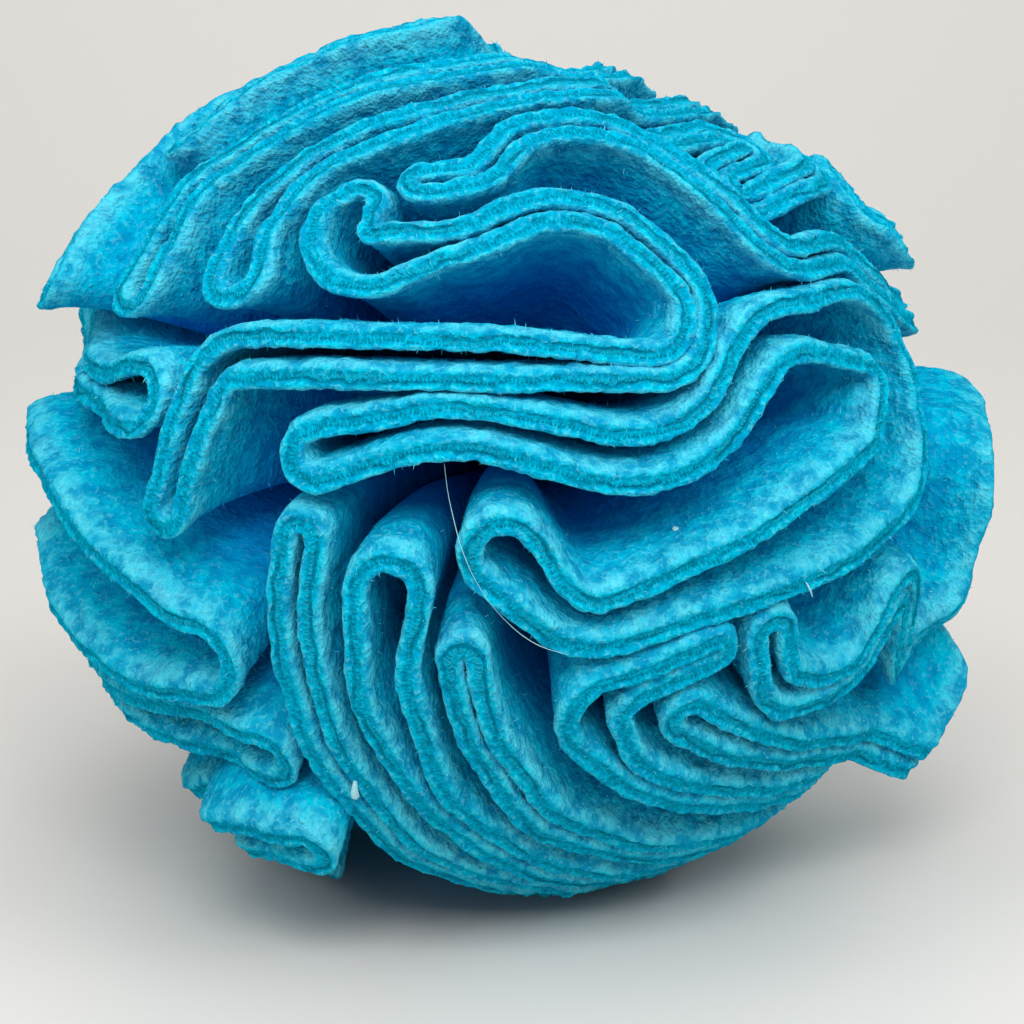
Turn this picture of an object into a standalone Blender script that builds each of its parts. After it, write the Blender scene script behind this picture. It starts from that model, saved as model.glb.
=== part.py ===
"""Snuffle ball: round pieces of thick fleece, each drawn in to its own middle and folded,
packed side by side so that their cut edges wander over the surface of one ball.

Every piece is a closed strip of two layers. Its fold table gives the centre line of the strip
over the ball, one row per fold; the two layers run either side of that line, the opening apart.
From the cut edge each layer runs in towards the heart of the ball, getting thinner as the cloth
is squeezed, and the drawn-in middle of the piece closes it at the bottom.
"""

import math
from collections import namedtuple

import bpy
import numpy as np

MM = 0.001

# The ball, in millimetres.
HALF_WIDTH = 57.5
HALF_DEPTH = 56.0
HALF_HEIGHT = 54.0
LEAN = (-2.2, 0.0, -1.2)  # from the heart to the middle of the ball: it bulges low and to the left
HEART_ABOVE_GROUND = 51.0  # lower than the half height: the ball rests on a flattened spot
MEAN_RADIUS = 56.0

# The cloth, in millimetres.
CLOTH = 2.5  # thickness at the cut edge
SNUG_PITCH = 3.0  # middle to middle where two layers lie against each other
ROOT_GAP = 0.3  # air between such layers where they meet near the heart
ROOT_RADIUS = 15.0  # the drawn-in middle lies this far from the heart
MIDDLE_THICKNESS = 0.9  # of the drawn-in middle

# How finely the folds are drawn.
FOLD_STEP_DEG = 25.0  # round a fold
WAVE_STEP_MM = 6.0  # along a wide bend
LEG_STEP_MM = 10.0  # along a straight run
TIP_STEPS = 5  # round a folded end

FLEECE_RGB = (0.006, 0.356, 0.610)

# lon and lat place a fold on the ball in degrees: 0, 0 faces the front, lon grows to the right.
# bend: inner radius of the centre line there, mm; opening: between the two layers, mm;
# proud: how far the cut edge stands out of the ball, mm. First and last rows are folded ends.
Fold = namedtuple("Fold", "lon lat bend opening proud")

DISCS = {
    # the long wave over the big pocket, its folded end hanging at the left
    "disc_long_wave": (
        (-24.5, 42.8, 0, 4.6, 0),
        (-30.3, 31.2, 6, 6.8, 0),
        (-5.5, 38.5, 10, 3.6, 0),
        (13.5, 45, 20, 3.4, 0),
        (28, 29.8, 6.5, 3.0, 0),
        (22.5, 21.3, 6.5, 3.0, 0),
        (-4, 23.3, 40, 4.6, 0),
        (-38, 21, 4.5, 4.6, 0),
        (-41.5, 3.5, 0, 3.9, 0),
    ),
    # the crest above it, running off to the right
    "disc_crest": (
        (-15, 47, 0, 3.4, 0),
        (-5, 48, 4, 3.4, 0),
        (5, 57.5, 10, 3.2, 0),
        (27, 56, 12, 3.1, 0),
        (44.5, 33.5, 6, 3.1, 0),
        (62.5, 33.5, 4, 3.1, -1),
        (74, 22.5, 6, 3.4, -1),
        (98, 19, 8, 4.6, -4.5),
        (114, 39, 6, 4.5, -1),
        (126, 24, 6, 5, 0),
        (121, 6, 0, 6, 0),
    ),
    # the large front flap with its hooked right end
    "disc_front_flap": (
        (-22, 12, 0, 5.8, 0),
        (-6.5, 16.5, 25, 4.4, 0),
        (20.5, 9.2, 18, 5.2, 0),
        (37.5, 25.5, 9, 6, 0),
        (63, 22, 8.5, 9, 0),
        (55.5, 5, 7.2, 11, 0),
        (8, -7.5, 7, 5.4, 0),
        (-0.5, 1.5, 0, 7.4, 0),
    ),
    # the outer ridge, upper left, over the top to the back
    "disc_outer_ridge": (
        (-39.5, 31.5, 0, 6.6, 0),
        (-41, 38, 8, 5, 0),
        (-36, 49, 14, 3.4, 0),
        (-7, 62, 30, 3.1, 0),
        (27.5, 65, 20, 3.1, 0),
        (50, 64, 10, 3.2, -3),
        (90, 62, 8, 3.4, -3.5),
        (118, 54, 8, 5, -2.5),
        (138, 44, 6, 5.5, 0),
        (141, 26, 8, 5.5, 0),
        (136, 8, 0, 6, 0),
    ),
    # second ridge, from the left shoulder over the top
    "disc_shoulder": (
        (-57, 27, 0, 5, 0),
        (-58, 42, 10, 4, 0),
        (-48, 58, 14, 3.6, 0),
        (-10, 72, 20, 3.4, 0),
        (60, 75, 14, 3.6, -3),
        (120, 68, 8, 4.5, -4),
        (155, 56, 8, 5.5, -1),
        (160, 36, 8, 6, 0),
        (150, 18, 0, 6, 0),
    ),
    # over the top of the ball and down the middle of the back
    "disc_top": (
        (-83, 46, 0, 4.5, 0),
        (-84, 60, 10, 4, 1),
        (-75, 78, 10, 3.6, 1.5),
        (-170, 80, 8, 4, -3.5),
        (-165, 66, 10, 5, 0),
        (-178, 45, 6, 6, 0),
        (178, 22, 6, 5.5, 0),
        (158, 8, 6, 5.5, 0),
        (148, -10, 0, 6, 0),
    ),
    # far left, over the upper back
    "disc_left_back": (
        (-80, 23, 0, 4.5, 2),
        (-99, 44, 10, 5, 1.5),
        (-130, 60, 8, 5, 0),
        (-158, 50, 6, 5.5, 0),
        (-158, 26, 8, 5.5, 0),
        (-175, 6, 6, 6, 0),
        (-166, -5, 5, 5, 0),
        (-148, -3, 0, 5, 0),
    ),
    # the small ring at the left, waving round the back
    "disc_left_ring": (
        (-49, 15.3, 0, 7, 0),
        (-62, 14.6, 8, 3.2, -2.5),
        (-82, 14, 10, 3.4, -5),
        (-103, 24, 8, 5.5, -1),
        (-118, 42, 6, 5.5, 0),
        (-138, 38, 6, 6, 0),
        (-138, 8, 8, 6, 0),
        (-120, 5, 0, 6, 0),
    ),
    # the wide pocket at the left
    "disc_left_pocket": (
        (-38.5, -13.5, 0, 9.5, 0),
        (-52, -12, 10, 14.5, 0),
        (-66, -7.5, 12, 17, 0),
        (-84, -1.2, 10, 14, 0),
        (-112, -8, 8, 5, 0),
        (-140, -15, 10, 5, 0),
        (-165, -15, 8, 5, 0),
        (178, -8, 0, 6, 0),
    ),
    # the narrow upright slit, down and under the ball
    "disc_narrow_slit": (
        (-23.5, 2.5, 0, 3.8, 0),
        (-24.5, -7, 20, 3.6, 0),
        (-22.5, -24, 20, 3.4, 0),
        (-14, -44, 14, 3.4, 0),
        (12, -60, 14, 3.4, 0),
        (90, -70, 14, 3.6, 0),
        (140, -58, 10, 4, 0),
        (160, -44, 0, 5, 0),
    ),
    # the long upright pocket, lower left of the middle
    "disc_long_pocket": (
        (-13.5, -3, 0, 7.2, 0),
        (-14.5, -14.5, 14, 5.6, 0),
        (-9.5, -31.5, 12, 3.6, 0),
        (6, -48, 20, 3.4, 0),
        (50, -59, 14, 3.4, 0),
        (90, -56, 12, 3.6, 0),
        (122, -46, 6, 4, 0),
        (141, -38, 6, 4.5, 0),
        (146, -21, 0, 4.5, 0),
    ),
    # the sweep below the front flap
    "disc_low_sweep": (
        (-5, -10.5, 0, 3.2, 0),
        (-3, -21, 20, 3.2, 0),
        (5.5, -35.5, 16, 3.4, 0),
        (20, -45, 16, 3.4, 0),
        (50, -50, 14, 3.4, 0),
        (85, -48, 12, 3.6, 0),
        (108, -40, 6, 4, 0),
        (122, -28, 6, 5, 0),
        (131, -10, 0, 7, 0),
    ),
    # the hook below the flap, lower right
    "disc_lower_hook": (
        (25, -11.5, 0, 3, 0),
        (15.5, -14.5, 6, 3.2, 0),
        (9, -18, 6, 6, 0),
        (16, -28, 10, 3.4, 0),
        (36.5, -37, 20, 3.2, 0),
        (60, -41, 14, 3.4, 0),
        (84, -41.2, 14, 3.4, 0),
        (102, -28, 6, 3.6, 0),
        (107, -12, 5, 4, 0),
        (120, -7, 0, 5, 0),
    ),
    # the zigzag at the right and the flap that stands out behind it
    "disc_right_zigzag": (
        (33, -11, 0, 4.4, 0),
        (35, -19, 5, 4.6, 0),
        (50.5, -21, 10, 3.4, 0),
        (58.5, -5, 4, 3.2, 0),
        (64.5, -18, 10, 3.1, 0),
        (71, -26, 5, 3.2, 0),
        (79.5, -13, 8, 3.4, 4),
        (80, 2, 5, 3.6, 4.6),
        (104, 3.5, 5, 4, 5.4),
        (109, -2, 0, 4, 0),
    ),
    # the short band at the lower right with the second standing flap
    "disc_right_flap": (
        (23, -20.5, 0, 4.4, 0),
        (30.5, -25, 8, 4, 0),
        (47.5, -31.5, 20, 3.2, 0),
        (66, -34, 10, 3.2, 1),
        (80, -34.4, 6, 3.2, 8.5),
        (85, -26, 8, 3.2, 8.5),
        (88, -19, 20, 3.2, 0.5),
        (92, -4.5, 3.3, 3.1, -1),
        (99, -4.5, 3.3, 3.1, -1),
        (97, -16, 0, 3.4, 0),
    ),
    # the tight pleats at the upper right
    "disc_pleats": (
        (39, 57.2, 0, 3.1, -3),
        (67, 57.2, 3.3, 3.1, -3),
        (69, 50.5, 3.3, 3.1, -2),
        (48, 50.5, 3.3, 3.1, -3),
        (46, 43.5, 3.3, 3.1, -3),
        (72, 43.5, 6, 3.1, 0),
        (92, 51, 6, 3.6, -2.5),
        (101, 43.5, 5, 3.6, -3.5),
        (95, 28.5, 4, 5, 1),
        (82.5, 30, 3.3, 3.2, 1.5),
        (79, 39.5, 3.3, 3.2, 0),
        (87, 42, 0, 3.4, 0),
    ),
    # the band under the wide left pocket
    "disc_left_band": (
        (-32, -25.6, 0, 6.2, 0),
        (-44, -26, 20, 6, -2),
        (-66, -27, 14, 5, -2),
        (-100, -27, 14, 5, 0),
        (-130, -35, 10, 5, 0),
        (-160, -30, 8, 5, 0),
        (178, -34, 0, 5, 0),
    ),
    # the lobe low at the left
    "disc_low_lobe": (
        (-27.5, -35.6, 0, 5, 5),
        (-38.5, -36.4, 8, 5, 4.5),
        (-54, -42, 10, 4.5, -2.5),
        (-70, -45, 10, 4, -1),
        (-110, -48, 12, 5, 0),
        (-150, -51, 10, 5, 0),
        (170, -41, 8, 5, 0),
        (163, -22, 0, 5, 0),
    ),
    # underneath, curled round the spot the ball rests on
    "disc_underneath": (
        (-46, -54, 0, 5, 0),
        (-100, -63, 10, 4.5, 0),
        (-160, -64, 10, 4.5, 0),
        (150, -66, 6, 4, 0),
        (80, -80, 6, 4, 0),
        (-60, -76, 4, 4, 0),
        (-130, -81, 0, 4, 0),
    ),
}


def outward(lon, lat):
    """Unit direction from the heart; lon 0 looks to the front, -Y."""
    lon, lat = math.radians(lon), math.radians(lat)
    return np.array([math.cos(lat) * math.sin(lon), -math.cos(lat) * math.cos(lon), math.sin(lat)])


def unit(vector):
    return vector / np.linalg.norm(vector)


def spine(folds):
    """Centre line of a folded strip: directions, directions to its left, openings, prouds."""
    corners = [outward(fold.lon, fold.lat) for fold in folds]
    last = len(folds) - 1
    normals = [unit(np.cross(corners[i], corners[i + 1])) for i in range(last)]
    legs = [math.acos(float(corners[i] @ corners[i + 1])) for i in range(last)]

    def along(leg, angle):
        start = corners[leg]
        return math.cos(angle) * start + math.sin(angle) * np.cross(normals[leg], start)

    rounding = {}
    for i in range(1, last):
        crossing = float(np.cross(normals[i - 1], normals[i]) @ corners[i])
        turn = math.atan2(crossing, float(normals[i - 1] @ normals[i]))
        half = (math.pi - abs(turn)) / 2
        radius = folds[i].bend / MEAN_RADIUS
        cut = math.atan2(math.tan(radius), math.tan(half))
        room_before = legs[i - 1] * (0.98 if i == 1 else 0.5)
        room_after = legs[i] * (0.98 if i == last - 1 else 0.5)
        room = min(room_before, room_after)
        if cut > room:
            radius = math.atan(math.tan(room) * math.tan(half))
            cut = room
        rounding[i] = (turn, radius, cut)

    rows = []
    for i, fold in enumerate(folds):
        if i in rounding:
            turn, radius, cut = rounding[i]
            side = 1 if turn > 0 else -1
            start = along(i - 1, legs[i - 1] - cut)
            end = along(i, cut)
            centre = unit(math.cos(radius) * start + math.sin(radius) * side * normals[i - 1])
            first = unit(start - centre * (start @ centre))
            second = np.cross(centre, first)
            reach_out = end - centre * (end @ centre)
            sweep = math.atan2(reach_out @ second, reach_out @ first)
            arc_mm = abs(sweep) * radius * MEAN_RADIUS
            steps = max(abs(math.degrees(sweep)) / FOLD_STEP_DEG, arc_mm / WAVE_STEP_MM)
            steps = max(1, round(steps))
            for k in range(steps + 1):
                angle = sweep * k / steps
                spoke = math.cos(angle) * first + math.sin(angle) * second
                here = math.cos(radius) * centre + math.sin(radius) * spoke
                left = side * (math.sin(radius) * centre - math.cos(radius) * spoke)
                rows.append((here, left, fold.opening, fold.proud))
        else:
            rows.append((corners[i], normals[min(i, last - 1)], fold.opening, fold.proud))
        if i < last:
            begin = rounding[i][2] if i in rounding else 0.0
            stop = legs[i] - (rounding[i + 1][2] if i + 1 in rounding else 0.0)
            pieces = max(1, round((stop - begin) * MEAN_RADIUS / LEG_STEP_MM))
            after = folds[i + 1]
            for k in range(1, pieces):
                share = k / pieces
                ease = share * share * (3 - 2 * share)
                opening = fold.opening + (after.opening - fold.opening) * ease
                proud = fold.proud + (after.proud - fold.proud) * ease
                here = along(i, begin + share * (stop - begin))
                rows.append((here, normals[i], opening, proud))
    return rows


def band(rows, shift, scale):
    """Directions of a closed line round the strip, shifted outwards by `shift` mm of cloth.

    `scale` turns millimetres at this depth into millimetres on the ball's surface.
    """
    right, left = [], []
    for here, side, opening, _ in rows:
        angle = (opening / 2 + shift * scale) / MEAN_RADIUS
        right.append(math.cos(angle) * here - math.sin(angle) * side)
        left.append(math.cos(angle) * here + math.sin(angle) * side)

    def tip(row, sign):
        here, side, opening, _ = row
        angle = (opening / 2 + shift * scale) / MEAN_RADIUS
        first = -side * sign
        second = np.cross(here, first)
        points = []
        for k in range(1, TIP_STEPS):
            turn = math.pi * k / TIP_STEPS
            spoke = math.cos(turn) * first + math.sin(turn) * second
            points.append(math.cos(angle) * here + math.sin(angle) * spoke)
        return points

    return right + tip(rows[-1], 1) + left[::-1] + tip(rows[0], -1)


def prouds_of(rows):
    along = [row[3] for row in rows]
    return along + [along[-1]] * (TIP_STEPS - 1) + along[::-1] + [along[0]] * (TIP_STEPS - 1)


def on_ball(direction, proud):
    """Point of the cut edge, pressed flat where it would be below the ground."""
    halves = np.array([HALF_WIDTH, HALF_DEPTH, HALF_HEIGHT])
    way, lean = direction / halves, np.array(LEAN) / halves
    steep, offset = way @ way, way @ lean
    reach = (offset + math.sqrt(offset**2 - steep * (lean @ lean - 1))) / steep + proud
    if direction[2] * reach < -HEART_ABOVE_GROUND:
        reach = -HEART_ABOVE_GROUND / direction[2]
    return direction * reach


def fleece_disc(name, folds):
    """One drawn-in, folded round of fleece as a closed solid."""
    rows = spine(folds)
    prouds = prouds_of(rows)
    rim_half = CLOTH / 2
    squeeze = ROOT_RADIUS / MEAN_RADIUS
    root_half = (SNUG_PITCH * squeeze - ROOT_GAP) / 2
    outer_rim = [on_ball(d, p) for d, p in zip(band(rows, rim_half, 1), prouds)]
    inner_rim = [on_ball(d, p) for d, p in zip(band(rows, -rim_half, 1), prouds)]
    outer_root = [d * ROOT_RADIUS for d in band(rows, root_half, 1 / squeeze)]
    floor = ROOT_RADIUS + MIDDLE_THICKNESS
    inner_root = [d * floor for d in band(rows, -root_half, 1 / squeeze)]
    around = len(outer_rim)
    points = outer_rim + inner_rim + outer_root + inner_root
    outer, inner, low, top = 0, around, 2 * around, 3 * around
    faces = []
    for i in range(around):
        j = (i + 1) % around
        faces.append((outer + i, outer + j, inner + j, inner + i))
        faces.append((low + i, low + j, outer + j, outer + i))
        faces.append((inner + i, inner + j, top + j, top + i))
    # the drawn-in middle: rungs across the strip, closed by the two folded ends
    count = len(rows)
    ladder = []
    for k in range(count - 1):
        a, b = k, k + 1
        c, d = 2 * count + TIP_STEPS - 1 - 1 - (k + 1), 2 * count + TIP_STEPS - 1 - 1 - k
        ladder.append((a, b, c, d))
    far = list(range(count - 1, count + TIP_STEPS))
    near = list(range(2 * count + TIP_STEPS - 2, around)) + [0]
    for ring in (far, near):
        for k in range(1, len(ring) - 1):
            ladder.append((ring[0], ring[k], ring[k + 1]))
    for face in ladder:
        faces.append(tuple(top + i for i in face))
        faces.append(tuple(low + i for i in reversed(face)))
    lift = np.array([0.0, 0.0, HEART_ABOVE_GROUND])
    mesh = bpy.data.meshes.new(name)
    mesh.from_pydata([tuple((p + lift) * MM) for p in points], [], faces)
    mesh.validate()
    mesh.update()
    return mesh


def fleece():
    material = bpy.data.materials.new("blue_fleece")
    material.use_nodes = True
    shader = material.node_tree.nodes["Principled BSDF"]
    shader.inputs["Base Color"].default_value = (*FLEECE_RGB, 1.0)
    shader.inputs["Roughness"].default_value = 0.95
    return material


def main():
    for existing in list(bpy.data.objects):
        bpy.data.objects.remove(existing, do_unlink=True)
    ball = bpy.data.collections.new("snuffle_ball")
    bpy.context.scene.collection.children.link(ball)
    cloth = fleece()
    discs = []
    for name, table in DISCS.items():
        mesh = fleece_disc(name, [Fold(*row) for row in table])
        mesh.materials.append(cloth)
        disc = bpy.data.objects.new(name, mesh)
        ball.objects.link(disc)
        discs.append(disc)
    # The origin is under the middle of the ball's bounding box, on the ground.
    corners = np.array([vertex.co for disc in discs for vertex in disc.data.vertices])
    low, high = corners.min(axis=0), corners.max(axis=0)
    shift = np.array([(low[0] + high[0]) / 2, (low[1] + high[1]) / 2, low[2]])
    for disc in discs:
        for vertex in disc.data.vertices:
            vertex.co = vertex.co - type(vertex.co)(shift)


main()
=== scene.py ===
"""Snuffle ball: the fleece itself.

Nineteen rounds of anti-pilling fleece, each drawn in to its own middle and folded into a closed
strip of two layers, wander side by side over one ball. This file gives each round its real
cloth: the rolled pile borders of the cut edge, the knitted ground between them with its rows of
loops, nubs of pile on both faces, loose fuzz, and the unevenness of hand-made folds.

Lengths in the tables and constants are millimetres; the meshes are made in metres.
"""

import math
from collections import namedtuple

import bpy
import numpy as np
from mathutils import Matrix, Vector


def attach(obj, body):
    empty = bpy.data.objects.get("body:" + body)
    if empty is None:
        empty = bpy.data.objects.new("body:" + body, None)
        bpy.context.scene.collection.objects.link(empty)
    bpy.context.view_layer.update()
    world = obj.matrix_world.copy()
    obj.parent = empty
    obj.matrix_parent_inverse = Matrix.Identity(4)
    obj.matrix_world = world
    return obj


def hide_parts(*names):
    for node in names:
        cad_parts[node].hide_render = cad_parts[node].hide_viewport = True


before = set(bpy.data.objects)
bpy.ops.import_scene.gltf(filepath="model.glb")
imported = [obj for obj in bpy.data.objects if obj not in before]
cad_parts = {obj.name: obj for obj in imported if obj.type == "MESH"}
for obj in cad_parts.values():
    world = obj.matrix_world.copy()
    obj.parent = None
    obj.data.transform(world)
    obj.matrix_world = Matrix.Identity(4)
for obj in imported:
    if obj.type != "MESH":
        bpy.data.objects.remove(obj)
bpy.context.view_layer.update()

bl_info = {
    "name": "Snuffle Ball",
    "version": (1, 0, 0),
    "blender": (4, 5, 0),
    "location": "View3D > Sidebar > Snuffle Ball",
    "description": "Builds a dog's snuffle ball from folded rounds of fleece",
    "category": "Add Mesh",
}

MM = 0.001

# The ball.
HALF_WIDTH = 57.5
HALF_DEPTH = 56.0
HALF_HEIGHT = 54.0
LEAN = (-2.2, 0.0, -1.2)  # from the heart to the middle of the ball: it bulges low and to the left
HEART_ABOVE_GROUND = 51.0
MEAN_RADIUS = 56.0
HEART = np.array([-0.38, 0.02, HEART_ABOVE_GROUND])  # in the frame, which is centred on the box

# The cloth.
HALF_CLOTH = 1.25  # half its thickness at the cut edge

# Where the cloth is squeezed together, near the heart.
SQUEEZE_RADIUS = 15.0  # from here inwards the layers lie pressed together
SQUEEZED_HALF = 0.25  # half the thickness there
ROOT_RADIUS = 5.0  # the outer face ends this far from the heart
MIDDLE_THICKNESS = 0.5  # of the drawn-in middle, which closes the strip

# How the cloth wanders and how its pile stands: sizes of the hills in mm, heights as shares.
SWAY_SIZE = 15.0
WIDE_RISE, WIDE_RISE_SHARE = 9.0, 0.62
SHORT_RISE, SHORT_RISE_SHARE = 4.0, 0.38
LARGE_NUB, LARGE_NUB_SHARE = 1.75, 0.65
SMALL_NUB, SMALL_NUB_SHARE = 1.0, 0.35
NUB_MEAN = 0.45  # taken off, so that the nubs stand about the face and not on it
NUB_HEIGHT = 0.95
TUFT, TUFT_HEIGHT = 0.75, 0.30
HOLLOW, HOLLOW_HEIGHT = 5.0, 0.22
ON_GROUND = 0.12  # share of the pile's height on the knitted ground in the cut edge
GROUND_HALF, GROUND_FADE = 0.55, 0.4  # half the width of that ground, and of the change to pile
PILE_HOLDS, PILE_FADES = 1.25, 11.0  # deep in the folds, where nothing shows, the pile gets lower
DROOP_DEPTH, DROOP_RADIUS = 5.0, 30.0  # the droop grows over this depth and dies towards the heart
GROUND_CLEAR = 0.05  # the cut edge's middle stays this far above the ground
LEVEL = 0.05  # directions less steep than this never meet the ground

# Loose fibres.
BARE_HALF, SHARE_ON_GROUND = 0.6, 0.25  # fewer grow this near the middle of the cut edge
THICK_WITHIN, THINS_OVER = 2.5, 7.0  # from the middle of the edge along the face
STANDS, RISES, SCATTERS = 0.75, 0.30, 0.75  # along the face's normal, outwards, any way
STANDS_AT_LEAST = 0.15
LENGTH_SHAPE, LONGEST = 5.0, 2.6  # of the spread of lengths; the longest against the usual one
ROOTED = 0.06  # how deep a fibre starts
FIBRE_CLEAR = 0.02  # above the ground

# Where the random numbers start, so that they are the same every run.
SWAY_SEEDS = (11, 12, 13)
PILE_SEED, SEEDS_APART = 40, 7
FIBRE_SEED = 900

FOLD_STEP_DEG = 10.0  # how finely a fold is drawn
SOFTENED = 1.0  # the changes of bend are eased over about this length
TIP_FINER, TIP_STEPS_AT_LEAST = 1.3, 6  # how much finer than the rest a folded end is drawn
END_LEG_ROOM, LEG_ROOM = 0.98, 0.5  # share of the run to the next fold that a bend may take

# lon and lat place a fold on the ball in degrees: 0, 0 faces the front, lon grows to the right.
# bend: inner radius of the centre line there, mm; opening: between the two layers, mm;
# proud: how far the cut edge stands out of the ball, mm. First and last rows are folded ends.
Fold = namedtuple("Fold", "lon lat bend opening proud")

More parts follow.
